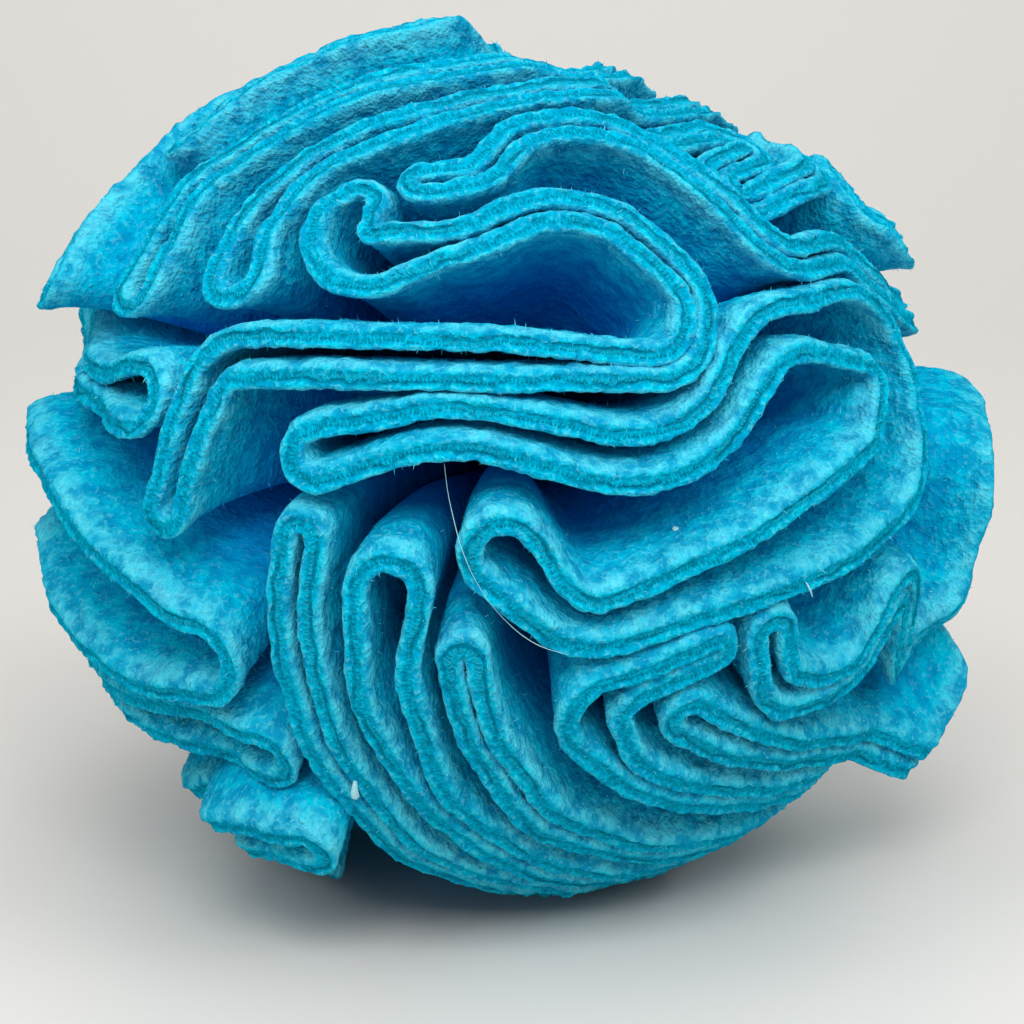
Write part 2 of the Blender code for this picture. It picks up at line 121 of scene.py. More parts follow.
DISCS = {
    # the long wave over the big pocket, its folded end hanging at the left
    "disc_long_wave": (
        (-24.5, 42.8, 0, 4.6, 0),
        (-30.3, 31.2, 6, 6.8, 0),
        (-5.5, 38.5, 10, 3.6, 0),
        (13.5, 45, 20, 3.4, 0),
        (28, 29.8, 6.5, 3.0, 0),
        (22.5, 21.3, 6.5, 3.0, 0),
        (-4, 23.3, 40, 4.6, 0),
        (-38, 21, 4.5, 4.6, 0),
        (-41.5, 3.5, 0, 3.9, 0),
    ),
    # the crest above it, running off to the right
    "disc_crest": (
        (-15, 47, 0, 3.4, 0),
        (-5, 48, 4, 3.4, 0),
        (5, 57.5, 10, 3.2, 0),
        (27, 56, 12, 3.1, 0),
        (44.5, 33.5, 6, 3.1, 0),
        (62.5, 33.5, 4, 3.1, -1),
        (74, 22.5, 6, 3.4, -1),
        (98, 19, 8, 4.6, -4.5),
        (114, 39, 6, 4.5, -1),
        (126, 24, 6, 5, 0),
        (121, 6, 0, 6, 0),
    ),
    # the large front flap with its hooked right end
    "disc_front_flap": (
        (-22, 12, 0, 5.8, 0),
        (-6.5, 16.5, 25, 4.4, 0),
        (20.5, 9.2, 18, 5.2, 0),
        (37.5, 25.5, 9, 6, 0),
        (63, 22, 8.5, 9, 0),
        (55.5, 5, 7.2, 11, 0),
        (8, -7.5, 7, 5.4, 0),
        (-0.5, 1.5, 0, 7.4, 0),
    ),
    # the outer ridge, upper left, over the top to the back
    "disc_outer_ridge": (
        (-39.5, 31.5, 0, 6.6, 0),
        (-41, 38, 8, 5, 0),
        (-36, 49, 14, 3.4, 0),
        (-7, 62, 30, 3.1, 0),
        (27.5, 65, 20, 3.1, 0),
        (50, 64, 10, 3.2, -3),
        (90, 62, 8, 3.4, -3.5),
        (118, 54, 8, 5, -2.5),
        (138, 44, 6, 5.5, 0),
        (141, 26, 8, 5.5, 0),
        (136, 8, 0, 6, 0),
    ),
    # second ridge, from the left shoulder over the top
    "disc_shoulder": (
        (-57, 27, 0, 5, 0),
        (-58, 42, 10, 4, 0),
        (-48, 58, 14, 3.6, 0),
        (-10, 72, 20, 3.4, 0),
        (60, 75, 14, 3.6, -3),
        (120, 68, 8, 4.5, -4),
        (155, 56, 8, 5.5, -1),
        (160, 36, 8, 6, 0),
        (150, 18, 0, 6, 0),
    ),
    # over the top of the ball and down the middle of the back
    "disc_top": (
        (-83, 46, 0, 4.5, 0),
        (-84, 60, 10, 4, 1),
        (-75, 78, 10, 3.6, 1.5),
        (-170, 80, 8, 4, -3.5),
        (-165, 66, 10, 5, 0),
        (-178, 45, 6, 6, 0),
        (178, 22, 6, 5.5, 0),
        (158, 8, 6, 5.5, 0),
        (148, -10, 0, 6, 0),
    ),
    # far left, over the upper back
    "disc_left_back": (
        (-80, 23, 0, 4.5, 2),
        (-99, 44, 10, 5, 1.5),
        (-130, 60, 8, 5, 0),
        (-158, 50, 6, 5.5, 0),
        (-158, 26, 8, 5.5, 0),
        (-175, 6, 6, 6, 0),
        (-166, -5, 5, 5, 0),
        (-148, -3, 0, 5, 0),
    ),
    # the small ring at the left, waving round the back
    "disc_left_ring": (
        (-49, 15.3, 0, 7, 0),
        (-62, 14.6, 8, 3.2, -2.5),
        (-82, 14, 10, 3.4, -5),
        (-103, 24, 8, 5.5, -1),
        (-118, 42, 6, 5.5, 0),
        (-138, 38, 6, 6, 0),
        (-138, 8, 8, 6, 0),
        (-120, 5, 0, 6, 0),
    ),
    # the wide pocket at the left
    "disc_left_pocket": (
        (-38.5, -13.5, 0, 9.5, 0),
        (-52, -12, 10, 14.5, 0),
        (-66, -7.5, 12, 17, 0),
        (-84, -1.2, 10, 14, 0),
        (-112, -8, 8, 5, 0),
        (-140, -15, 10, 5, 0),
        (-165, -15, 8, 5, 0),
        (178, -8, 0, 6, 0),
    ),
    # the narrow upright slit, down and under the ball
    "disc_narrow_slit": (
        (-23.5, 2.5, 0, 3.8, 0),
        (-24.5, -7, 20, 3.6, 0),
        (-22.5, -24, 20, 3.4, 0),
        (-14, -44, 14, 3.4, 0),
        (12, -60, 14, 3.4, 0),
        (90, -70, 14, 3.6, 0),
        (140, -58, 10, 4, 0),
        (160, -44, 0, 5, 0),
    ),
    # the long upright pocket, lower left of the middle
    "disc_long_pocket": (
        (-13.5, -3, 0, 7.2, 0),
        (-14.5, -14.5, 14, 5.6, 0),
        (-9.5, -31.5, 12, 3.6, 0),
        (6, -48, 20, 3.4, 0),
        (50, -59, 14, 3.4, 0),
        (90, -56, 12, 3.6, 0),
        (122, -46, 6, 4, 0),
        (141, -38, 6, 4.5, 0),
        (146, -21, 0, 4.5, 0),
    ),
    # the sweep below the front flap
    "disc_low_sweep": (
        (-5, -10.5, 0, 3.2, 0),
        (-3, -21, 20, 3.2, 0),
        (5.5, -35.5, 16, 3.4, 0),
        (20, -45, 16, 3.4, 0),
        (50, -50, 14, 3.4, 0),
        (85, -48, 12, 3.6, 0),
        (108, -40, 6, 4, 0),
        (122, -28, 6, 5, 0),
        (131, -10, 0, 7, 0),
    ),
    # the hook below the flap, lower right
    "disc_lower_hook": (
        (25, -11.5, 0, 3, 0),
        (15.5, -14.5, 6, 3.2, 0),
        (9, -18, 6, 6, 0),
        (16, -28, 10, 3.4, 0),
        (36.5, -37, 20, 3.2, 0),
        (60, -41, 14, 3.4, 0),
        (84, -41.2, 14, 3.4, 0),
        (102, -28, 6, 3.6, 0),
        (107, -12, 5, 4, 0),
        (120, -7, 0, 5, 0),
    ),
    # the zigzag at the right and the flap that stands out behind it
    "disc_right_zigzag": (
        (33, -11, 0, 4.4, 0),
        (35, -19, 5, 4.6, 0),
        (50.5, -21, 10, 3.4, 0),
        (58.5, -5, 4, 3.2, 0),
        (64.5, -18, 10, 3.1, 0),
        (71, -26, 5, 3.2, 0),
        (79.5, -13, 8, 3.4, 4),
        (80, 2, 5, 3.6, 4.6),
        (104, 3.5, 5, 4, 5.4),
        (109, -2, 0, 4, 0),
    ),
    # the short band at the lower right with the second standing flap
    "disc_right_flap": (
        (23, -20.5, 0, 4.4, 0),
        (30.5, -25, 8, 4, 0),
        (47.5, -31.5, 20, 3.2, 0),
        (66, -34, 10, 3.2, 1),
        (80, -34.4, 6, 3.2, 8.5),
        (85, -26, 8, 3.2, 8.5),
        (88, -19, 20, 3.2, 0.5),
        (92, -4.5, 3.3, 3.1, -1),
        (99, -4.5, 3.3, 3.1, -1),
        (97, -16, 0, 3.4, 0),
    ),
    # the tight pleats at the upper right
    "disc_pleats": (
        (39, 57.2, 0, 3.1, -3),
        (67, 57.2, 3.3, 3.1, -3),
        (69, 50.5, 3.3, 3.1, -2),
        (48, 50.5, 3.3, 3.1, -3),
        (46, 43.5, 3.3, 3.1, -3),
        (72, 43.5, 6, 3.1, 0),
        (92, 51, 6, 3.6, -2.5),
        (101, 43.5, 5, 3.6, -3.5),
        (95, 28.5, 4, 5, 1),
        (82.5, 30, 3.3, 3.2, 1.5),
        (79, 39.5, 3.3, 3.2, 0),
        (87, 42, 0, 3.4, 0),
    ),
    # the band under the wide left pocket
    "disc_left_band": (
        (-32, -25.6, 0, 6.2, 0),
        (-44, -26, 20, 6, -2),
        (-66, -27, 14, 5, -2),
        (-100, -27, 14, 5, 0),
        (-130, -35, 10, 5, 0),
        (-160, -30, 8, 5, 0),
        (178, -34, 0, 5, 0),
    ),
    # the lobe low at the left
    "disc_low_lobe": (
        (-27.5, -35.6, 0, 5, 5),
        (-38.5, -36.4, 8, 5, 4.5),
        (-54, -42, 10, 4.5, -2.5),
        (-70, -45, 10, 4, -1),
        (-110, -48, 12, 5, 0),
        (-150, -51, 10, 5, 0),
        (170, -41, 8, 5, 0),
        (163, -22, 0, 5, 0),
    ),
    # underneath, curled round the spot the ball rests on
    "disc_underneath": (
        (-46, -54, 0, 5, 0),
        (-100, -63, 10, 4.5, 0),
        (-160, -64, 10, 4.5, 0),
        (150, -66, 6, 4, 0),
        (80, -80, 6, 4, 0),
        (-60, -76, 4, 4, 0),
        (-130, -81, 0, 4, 0),
    ),
}

# What has settled on the ball: its route in degrees, how far it stands out and its width in mm.
Stray = namedtuple("Stray", "lon lat proud width")
STRAND_SIDES = 6  # of a stray's tube
STRAND_STEPS = 6  # rings from one row of its route to the next
STRAYS = {
    "pale_hair": (
        (-7.2, 12.2, -0.2, 0.03),
        (-6.6, 9.0, 0.5, 0.05),
        (-5.9, 6.0, 0.5, 0.08),
        (-5.1, 3.0, 0.3, 0.08),
        (-3.9, 0.0, 0.2, 0.06),
        (-2.3, -2.8, 0.2, 0.04),
        (-0.5, -5.1, 0.2, 0.05),
        (1.7, -7.2, 0.2, 0.08),
        (4.0, -8.7, 0.1, 0.08),
        (7.0, -9.8, 0.0, 0.03),
    ),
    "white_thread_end": (
        (-19.8, -27.6, 0.1, 0.45),
        (-20.0, -28.6, 0.4, 0.80),
        (-20.2, -29.6, 0.4, 1.05),
        (-20.3, -30.2, 0.1, 0.70),
    ),
    "white_fibre": (
        (36.9, -4.4, 0.1, 0.14),
        (37.4, -5.3, 0.3, 0.24),
        (38.0, -6.3, 0.2, 0.10),
    ),
    "lint": (
        (20.9, 3.2, -4.6, 0.45),
        (21.3, 2.9, -4.5, 0.80),
        (21.7, 2.5, -4.5, 0.40),
    ),
}

# Across the cut edge, from the middle of the knitted ground to the face of the cloth:
# across is the distance from the layer's middle, below is how far under the edge's top.
Edge = namedtuple("Edge", "across below")
CUT_EDGE = (
    Edge(0.00, 0.16),
    Edge(0.24, 0.20),
    Edge(0.46, 0.18),
    Edge(0.70, 0.06),
    Edge(0.94, 0.04),
    Edge(1.15, 0.20),
    Edge(1.28, 0.50),
    Edge(1.33, 0.95),
    Edge(1.32, 1.45),
    Edge(1.28, 2.00),
)
# The rows of points down the face of the cloth, as depths under the edge's top.
FACE_DEPTHS = (
    2.6, 3.3, 4.0, 4.8, 5.6, 6.5, 7.5, 8.6, 9.8,
    11.2, 12.8, 14.6, 16.8, 19.5, 23.0, 28.0, 36.0, 60.0,
)


# ---- colour ----


def linear(hex_colour):
    """An sRGB hex colour as linear red, green and blue."""
    parts = [int(hex_colour[i:i + 2], 16) / 255 for i in (1, 3, 5)]
    return tuple(c / 12.92 if c <= 0.04045 else ((c + 0.055) / 1.055) ** 2.4 for c in parts)


# ---- noise that is the same every run ----


def lattice(cell, seed):
    """A steady random number from 0 to 1 for each whole-numbered cell, from large odd factors."""
    x, y, z = (cell[..., i].astype(np.uint32) for i in range(3))
    h = x * np.uint32(374761393) + y * np.uint32(668265263) + z * np.uint32(2246822519)
    h = h + np.uint32(seed * 3266489 + 97)
    h = (h ^ (h >> np.uint32(13))) * np.uint32(1274126177)
    h = (h ^ (h >> np.uint32(16))) * np.uint32(2654435761)
    h = h ^ (h >> np.uint32(15))
    return h.astype(np.float64) / 4294967296.0


def swell(points, size, seed):
    """Smooth noise from -1 to 1 whose hills are about `size` mm across."""
    scaled = points / size
    base = np.floor(scaled).astype(np.int64)
    part = scaled - base
    part = part * part * (3 - 2 * part)
    total = 0.0
    for corner in range(8):
        step = np.array([corner & 1, corner >> 1 & 1, corner >> 2 & 1])
        weight = np.prod(np.where(step, part, 1 - part), axis=-1)
        total = total + weight * lattice(base + step, seed)
    return total * 2 - 1


def nubs(points, size, seed):
    """Rounded nubs of pile, about `size` mm apart: 1 on a nub's top, 0 between nubs."""
    scaled = points / size
    base = np.floor(scaled).astype(np.int64)
    nearest = np.full(points.shape[:-1], 9.0)
    for corner in range(27):
        step = np.array([corner % 3 - 1, corner // 3 % 3 - 1, corner // 9 - 1])
        cell = base + step
        spot = np.stack([lattice(cell, seed + k) for k in range(3)], axis=-1)
        nearest = np.minimum(nearest, np.sum((cell + spot - scaled) ** 2, axis=-1))
    return np.clip(1 - nearest, 0, 1)


# ---- the line of the folds ----


def outward(lon, lat):
    lon, lat = math.radians(lon), math.radians(lat)
    return np.array([math.cos(lat) * math.sin(lon), -math.cos(lat) * math.cos(lon), math.sin(lat)])


def unit(vectors):
    return vectors / np.linalg.norm(vectors, axis=-1, keepdims=True)


def spine(folds, step):
    """Centre line of a folded strip, a row every `step` mm: direction, opening, proud."""
    corners = [outward(fold.lon, fold.lat) for fold in folds]
    last = len(folds) - 1
    normals = [unit(np.cross(corners[i], corners[i + 1])) for i in range(last)]
    legs = [math.acos(float(corners[i] @ corners[i + 1])) for i in range(last)]

    def along(leg, angle):
        start = corners[leg]
        return math.cos(angle) * start + math.sin(angle) * np.cross(normals[leg], start)

    rounding = {}
    for i in range(1, last):
        crossing = float(np.cross(normals[i - 1], normals[i]) @ corners[i])
        turn = math.atan2(crossing, float(normals[i - 1] @ normals[i]))
        half = (math.pi - abs(turn)) / 2
        radius = folds[i].bend / MEAN_RADIUS
        cut = math.atan2(math.tan(radius), math.tan(half))
        room_before = legs[i - 1] * (END_LEG_ROOM if i == 1 else LEG_ROOM)
        room_after = legs[i] * (END_LEG_ROOM if i == last - 1 else LEG_ROOM)
        room = min(room_before, room_after)
        if cut > room:
            radius = math.atan(math.tan(room) * math.tan(half))
            cut = room
        rounding[i] = (turn, radius, cut)

    rows = []
    for i, fold in enumerate(folds):
        if i in rounding:
            turn, radius, cut = rounding[i]
            side = 1 if turn > 0 else -1
            start = along(i - 1, legs[i - 1] - cut)
            end = along(i, cut)
            centre = unit(math.cos(radius) * start + math.sin(radius) * side * normals[i - 1])
            first = unit(start - centre * (start @ centre))
            second = np.cross(centre, first)
            reach_out = end - centre * (end @ centre)
            sweep = math.atan2(reach_out @ second, reach_out @ first)
            arc_mm = abs(sweep) * radius * MEAN_RADIUS
            steps = math.ceil(max(abs(math.degrees(sweep)) / FOLD_STEP_DEG, arc_mm / step))
            for k in range(steps + 1):
                angle = sweep * k / steps
                spoke = math.cos(angle) * first + math.sin(angle) * second
                here = math.cos(radius) * centre + math.sin(radius) * spoke
                rows.append((*here, fold.opening, fold.proud))
        else:
            rows.append((*corners[i], fold.opening, fold.proud))
        if i < last:
            begin = rounding[i][2] if i in rounding else 0.0
            stop = legs[i] - (rounding[i + 1][2] if i + 1 in rounding else 0.0)
            pieces = max(1, round((stop - begin) * MEAN_RADIUS / step))
            after = folds[i + 1]
            for k in range(1, pieces):
                share = k / pieces
                ease = share * share * (3 - 2 * share)
                opening = fold.opening + (after.opening - fold.opening) * ease
                proud = fold.proud + (after.proud - fold.proud) * ease
                here = along(i, begin + share * (stop - begin))
                rows.append((*here, opening, proud))
    return np.array(rows)


def eased(rows, reach_mm):
    """The same line with its changes of bend softened over about `reach_mm`."""
    gaps = np.linalg.norm(np.diff(rows[:, :3], axis=0), axis=1) * MEAN_RADIUS
    distance = np.concatenate([[0], np.cumsum(gaps)])
    weights = np.exp(-0.5 * ((distance[:, None] - distance[None, :]) / reach_mm) ** 2)
    spacing = np.gradient(distance)
    weights = weights * spacing[None, :]
    soft = weights @ rows / weights.sum(axis=1, keepdims=True)
    hold = np.clip(np.minimum(distance, distance[-1] - distance) / (2 * reach_mm), 0, 1)[:, None]
    soft = rows + (soft - rows) * hold
    soft[:, :3] = unit(soft[:, :3])
    return soft


def columns(folds, step):
    """Round the strip, one entry a column: middle of the layer, its outer side, proud, row.

    The right layer runs from the first fold to the last, then come the folded end, the left
    layer on its way back and the other folded end.
    """
    rows = eased(spine(folds, step), SOFTENED)
    here = rows[:, :3]
    opening, proud = rows[:, 3], rows[:, 4]
    ahead = np.gradient(here, axis=0)
    left = unit(np.cross(here, ahead))
    angle = (opening / 2 / MEAN_RADIUS)[:, None]
    right_middle = np.cos(angle) * here - np.sin(angle) * left
    right_out = -np.sin(angle) * here - np.cos(angle) * left
    left_middle = np.cos(angle) * here + np.sin(angle) * left
    left_out = -np.sin(angle) * here + np.cos(angle) * left

    def tip(at, sign):
        first = -left[at] * sign
        second = np.cross(here[at], first)
        steps = round(math.pi * opening[at] / 2 / step * TIP_FINER)
        steps = max(TIP_STEPS_AT_LEAST, steps)
        turn = (np.pi * np.arange(1, steps) / steps)[:, None]
        spoke = np.cos(turn) * first + np.sin(turn) * second
        middle = np.cos(angle[at]) * here[at] + np.sin(angle[at]) * spoke
        out = -np.sin(angle[at]) * here[at] + np.cos(angle[at]) * spoke
        return middle, out, np.full(steps - 1, proud[at])

    far, near = tip(-1, 1), tip(0, -1)
    middle = np.concatenate([right_middle, far[0], left_middle[::-1], near[0]])
    out = np.concatenate([right_out, far[1], left_out[::-1], near[1]])
    stands = np.concatenate([proud, far[2], proud[::-1], near[2]])
    return middle, out, stands, len(rows), len(far[0])


def reach(direction):
    """Distance from the heart to the ball's surface, which is set off by the lean."""
    halves = np.array([HALF_WIDTH, HALF_DEPTH, HALF_HEIGHT])
    way, lean = direction / halves, np.array(LEAN) / halves
    steep, offset = (way**2).sum(axis=-1), way @ lean
    return (offset + np.sqrt(offset**2 - steep * (lean @ lean - 1))) / steep


# ---- one round of fleece ----


def profile():
    """Across a layer from deep inside the strip, over the cut edge, to deep outside it.

    Columns: across (mm at the edge, negative inside), below (mm), lie (mm from the middle of
    the cut edge along the surface).
    """
    side = [(edge.across, edge.below) for edge in CUT_EDGE]
    side += [(HALF_CLOTH, depth) for depth in FACE_DEPTHS]
    side = np.array(side)
    lie = np.concatenate([[0], np.cumsum(np.linalg.norm(np.diff(side, axis=0), axis=1))])
    half = np.column_stack([side, lie])
    inner = half[:0:-1] * np.array([-1, 1, -1])
    return np.concatenate([inner, half])


def surface_normals(grid):
    """Normals of a grid that closes on itself along its first axis."""
    round_way = np.roll(grid, -1, axis=0) - np.roll(grid, 1, axis=0)
    over = np.gradient(grid, axis=1)
    return unit(np.cross(over, round_way) + 1e-12)


class Round:
    """The worked-out surface of one fleece round: a grid of points and what lies where."""

    def __init__(self, folds, number, settings):
        step = settings.stitch_step / MM
        middle, out, proud, self.count, self.tip = columns(folds, step)
        shape = profile()
        across, below, self.lie = shape[:, 0], shape[:, 1], shape[:, 2]
        pile = settings.pile_height / MM
        seed = PILE_SEED + number * SEEDS_APART

        # The cloth sways a little; neighbours sway together, so they stay clear of each other.
        spot = middle * MEAN_RADIUS
        sway = np.stack([swell(spot, SWAY_SIZE, axis_seed) for axis_seed in SWAY_SEEDS], -1)
        sway = sway - (sway * middle).sum(-1, keepdims=True) * middle
        middle = unit(middle + sway * (settings.sway / MM / MEAN_RADIUS))
        out = unit(out - (out * middle).sum(-1, keepdims=True) * middle)

        top = reach(middle) + proud
        rise = WIDE_RISE_SHARE * swell(spot, WIDE_RISE, seed)
        rise = rise + SHORT_RISE_SHARE * swell(spot, SHORT_RISE, seed + 1)
        top = top + rise * (settings.edge_rise / MM)
        down = -middle[:, 2]
        ground = np.where(down > LEVEL, HEART_ABOVE_GROUND / np.maximum(down, LEVEL), np.inf)
        top = np.minimum(top, ground - GROUND_CLEAR)

        depth = np.broadcast_to(below[None, :], (len(middle), len(below)))
        bottom = np.where(across < 0, ROOT_RADIUS + MIDDLE_THICKNESS, ROOT_RADIUS)
        radius = np.maximum(top[:, None] - depth, bottom[None, :])
        squeeze = np.clip((radius - SQUEEZE_RADIUS) / (MEAN_RADIUS - SQUEEZE_RADIUS), 0, 1)
        full = HALF_CLOTH * squeeze + SQUEEZED_HALF * (1 - squeeze)
        full = full * np.minimum(1, radius / SQUEEZE_RADIUS)
        sideways = across[None, :] / HALF_CLOTH * full
        grid = radius[..., None] * middle[:, None, :] + sideways[..., None] * out[:, None, :]

        # The edges droop: behind them the cloth comes from a little higher up.
        upright = np.array([0.0, 0.0, 1.0]) - middle * middle[:, 2:]
        behind = 1 - np.exp(-depth / DROOP_DEPTH)
        behind = behind * np.clip((radius - ROOT_RADIUS) / DROOP_RADIUS, 0, 1)
        lift = behind[..., None] * upright[:, None, :] * (settings.droop / MM)
        grid = grid + lift

        normal = surface_normals(grid)
        lumps = nubs(grid, LARGE_NUB, seed + 2) * LARGE_NUB_SHARE
        lumps = lumps + nubs(grid, SMALL_NUB, seed + 5) * SMALL_NUB_SHARE - NUB_MEAN
        tufts = swell(grid, TUFT, seed + 8)
        hollows = swell(grid, HOLLOW, seed + 9)
        on_pile = np.clip((np.abs(self.lie) - GROUND_HALF) / GROUND_FADE, ON_GROUND, 1)[None, :]
        fading = np.clip(PILE_HOLDS - depth / PILE_FADES, 0.0, 1)
        height = lumps * NUB_HEIGHT + tufts * TUFT_HEIGHT + hollows * HOLLOW_HEIGHT
        height = height * on_pile * fading * pile
        grid = grid + normal * height[..., None]

        # The ground presses the lowest pile flat.
        sunk = np.minimum(1, HEART_ABOVE_GROUND / np.maximum(-grid[..., 2], 1e-6))
        grid = np.where((grid[..., 2] < 0)[..., None], grid * sunk[..., None], grid)
        self.points = grid + HEART
        self.normals = surface_normals(grid)
        gaps = np.linalg.norm(np.roll(spot, -1, axis=0) - spot, axis=1)
        along = np.concatenate([[0], np.cumsum(gaps)])[:-1]
        self.along = np.minimum(along, gaps.sum() - along)

    def mesh(self, name):
        """The closed mesh: both layers' faces and the middle, which closes them deep inside."""
        around, rows = self.points.shape[:2]
        index = np.arange(around * rows).reshape(around, rows)
        after = np.roll(index, -1, axis=0)
        walls = np.stack([index[:, 1:], after[:, 1:], after[:, :-1], index[:, :-1]], -1)
        faces = [walls.reshape(-1, 4)]
        count, tip = self.count, self.tip
        right = np.arange(count)
        back = 2 * count + tip - 1 - right
        ladder = np.stack([right[:-1], right[1:], back[1:], back[:-1]], -1)
        ends = []
        far = list(range(count - 1, count + tip + 1))
        near = list(range(2 * count + tip - 1, around)) + [0]
        for ring in (far, near):
            ends += [(ring[0], ring[k], ring[k + 1]) for k in range(1, len(ring) - 1)]
        ends = np.array(ends)
        faces.append(index[ladder, 0])
        faces.append(index[ladder[:, ::-1], rows - 1])
        corners = [face.reshape(-1) for face in faces]
        sizes = [np.full(len(face), 4) for face in faces]
        for row, order in ((0, slice(None)), (rows - 1, slice(None, None, -1))):
            triangles = index[ends[:, order], row]
            corners.append(triangles.reshape(-1))
            sizes.append(np.full(len(triangles), 3))
        points = self.points.reshape(-1, 3)
        mesh = mesh_from(name, points, np.concatenate(corners), np.concatenate(sizes))
        lie = np.broadcast_to(self.lie[None, :], (around, rows))
        along = np.broadcast_to(self.along[:, None], (around, rows))
        mapped = np.stack([along, lie, np.zeros_like(lie)], -1).reshape(-1, 3)
        attribute = mesh.attributes.new("cloth", "FLOAT_VECTOR", "POINT")
        attribute.data.foreach_set("vector", mapped.astype(np.float32).reshape(-1))
        return mesh


def mesh_from(name, points, corners, sizes):
    """A mesh from points in millimetres, the corner list of its faces and each face's size."""
    mesh = bpy.data.meshes.new(name)
    mesh.vertices.add(len(points))
    mesh.vertices.foreach_set("co", (points * MM).astype(np.float32).reshape(-1))
    mesh.loops.add(len(corners))
    mesh.loops.foreach_set("vertex_index", corners.astype(np.int32))
    mesh.polygons.add(len(sizes))
    starts = np.concatenate([[0], np.cumsum(sizes)[:-1]])
    mesh.polygons.foreach_set("loop_start", starts.astype(np.int32))
    mesh.polygons.foreach_set("use_smooth", np.ones(len(sizes), dtype=bool))
    mesh.update(calc_edges=True)
    mesh.validate()
    return mesh


def fuzz_mesh(name, cloth, number, settings):
    """Loose fibres that stand out of the pile, each one long thin triangle."""
    random = np.random.default_rng(FIBRE_SEED + number)
    around, rows = cloth.points.shape[:2]
    reach_in = np.abs(cloth.lie)
    on_face = np.exp(-np.maximum(reach_in - THICK_WITHIN, 0) / THINS_OVER)
    share = np.where(reach_in < BARE_HALF, SHARE_ON_GROUND, on_face)
    chance = share * np.gradient(cloth.lie)
    row = random.choice(rows, settings.fibres, p=chance / chance.sum())
    column = random.integers(0, around, settings.fibres)
    jitter = random.random((settings.fibres, 2))
    next_column = (column + 1) % around
    next_row = np.minimum(row + 1, rows - 1)
    base = cloth.points[column, row]
    base = base + (cloth.points[next_column, row] - base) * jitter[:, :1]
    base = base + (cloth.points[column, next_row] - cloth.points[column, row]) * jitter[:, 1:]
    normal = cloth.normals[column, row]
    up = unit(base - HEART)
    lean = random.normal(size=(settings.fibres, 3)) * SCATTERS
    way = unit(normal * STANDS + up * RISES + lean)
    inward = (way * normal).sum(-1, keepdims=True)
    way = unit(way + normal * np.maximum(STANDS_AT_LEAST - inward, 0))
    usual = settings.fibre_length / MM
    length = random.gamma(LENGTH_SHAPE, usual / LENGTH_SHAPE, settings.fibres)[:, None]
    length = np.minimum(length, LONGEST * settings.fibre_length / MM)
    side = unit(np.cross(way, normal) + 1e-9) * (settings.fibre_width / MM / 2)
    root = base - normal * ROOTED
    tip = root + way * length
    tip[:, 2] = np.maximum(tip[:, 2], FIBRE_CLEAR)
    root[:, 2] = np.maximum(root[:, 2], FIBRE_CLEAR)
    points = np.stack([root - side, root + side, tip], axis=1).reshape(-1, 3)
    points[:, 2] = np.maximum(points[:, 2], 0.0)
    corners = np.arange(len(points))
    return mesh_from(name, points, corners, np.full(settings.fibres, 3))


def smoothed(rows, steps):
    """Points on the smooth curve through the rows, with so many steps from one row to the next."""
    padded = np.concatenate([2 * rows[:1] - rows[1:2], rows, 2 * rows[-1:] - rows[-2:-1]])
    share = (np.arange(steps) / steps)[None, :, None]
    before, start, end, after = (padded[k:len(padded) - 3 + k, None] for k in range(4))
    bend = 2 * before - 5 * start + 4 * end - after
    curl = 3 * start - before - 3 * end + after
    curve = start + (end - before) * share / 2 + bend * share**2 / 2 + curl * share**3 / 2
    return np.concatenate([curve.reshape(-1, rows.shape[1]), rows[-1:]])


def strand_mesh(name, route):
    """A fibre or speck of lint as a closed tube along its route."""
    sides = STRAND_SIDES
    lon, lat, proud, width = smoothed(np.array(route, dtype=float), STRAND_STEPS).T
    way = np.array([outward(*pair) for pair in zip(lon, lat)])
    middle = HEART + way * (reach(way) + proud)[:, None]
    ahead = unit(np.gradient(middle, axis=0))
    across = unit(np.cross(ahead, way))
    turn = 2 * np.pi * np.arange(sides) / sides
    rise = np.cross(across, ahead)
    cosine, sine = np.cos(turn)[None, :, None], np.sin(turn)[None, :, None]
    ring = across[:, None] * cosine + rise[:, None] * sine
    points = (middle[:, None] + ring * (width / 2)[:, None, None]).reshape(-1, 3)
    index = np.arange(len(points)).reshape(-1, sides)
    beside = np.roll(index, -1, axis=1)
    walls = np.stack([index[:-1], beside[:-1], beside[1:], index[1:]], -1).reshape(-1, 4)
    caps = np.stack([index[0][::-1], index[-1]])
    corners = np.concatenate([walls.reshape(-1), caps.reshape(-1)])
    sizes = np.concatenate([np.full(len(walls), 4), np.full(2, sides)])
    return mesh_from(name, points, corners, sizes)


# ---- materials ----

# Patterns in the pile: how large in mm, how many finer layers, how strong those are.
Pattern = namedtuple("Pattern", "size detail rough")
PATTERNS = {
    "mottle": Pattern(9.0, 3.0, 0.5),
    "drift": Pattern(3.0, 1.0, 0.5),
    "clumps": Pattern(2.2, 1.0, 0.5),
    "beads": Pattern(0.62, 1.5, 0.6),
}
COMBED = (2.6, 0.9, 1.0)  # squashes a 1 mm pattern, so that it runs across the cut edge
LOOP_PITCH = 0.48  # mm from one knitted loop to the next
LOOP_DRIFT, ROW_DRIFT = 1.4, 1.7  # mm that the loops and their row wander, for a drift of 1
STITCH_ROW = 0.12  # mm beside the middle of the cut edge
SHADED_COURSE = 0.42  # mm to the other side
RELIEF = 0.0011  # metres from the lowest to the highest pile
FIBRE_PATCHES = 2.0  # mm across, where loose fibres are painted paler, as a painted highlight
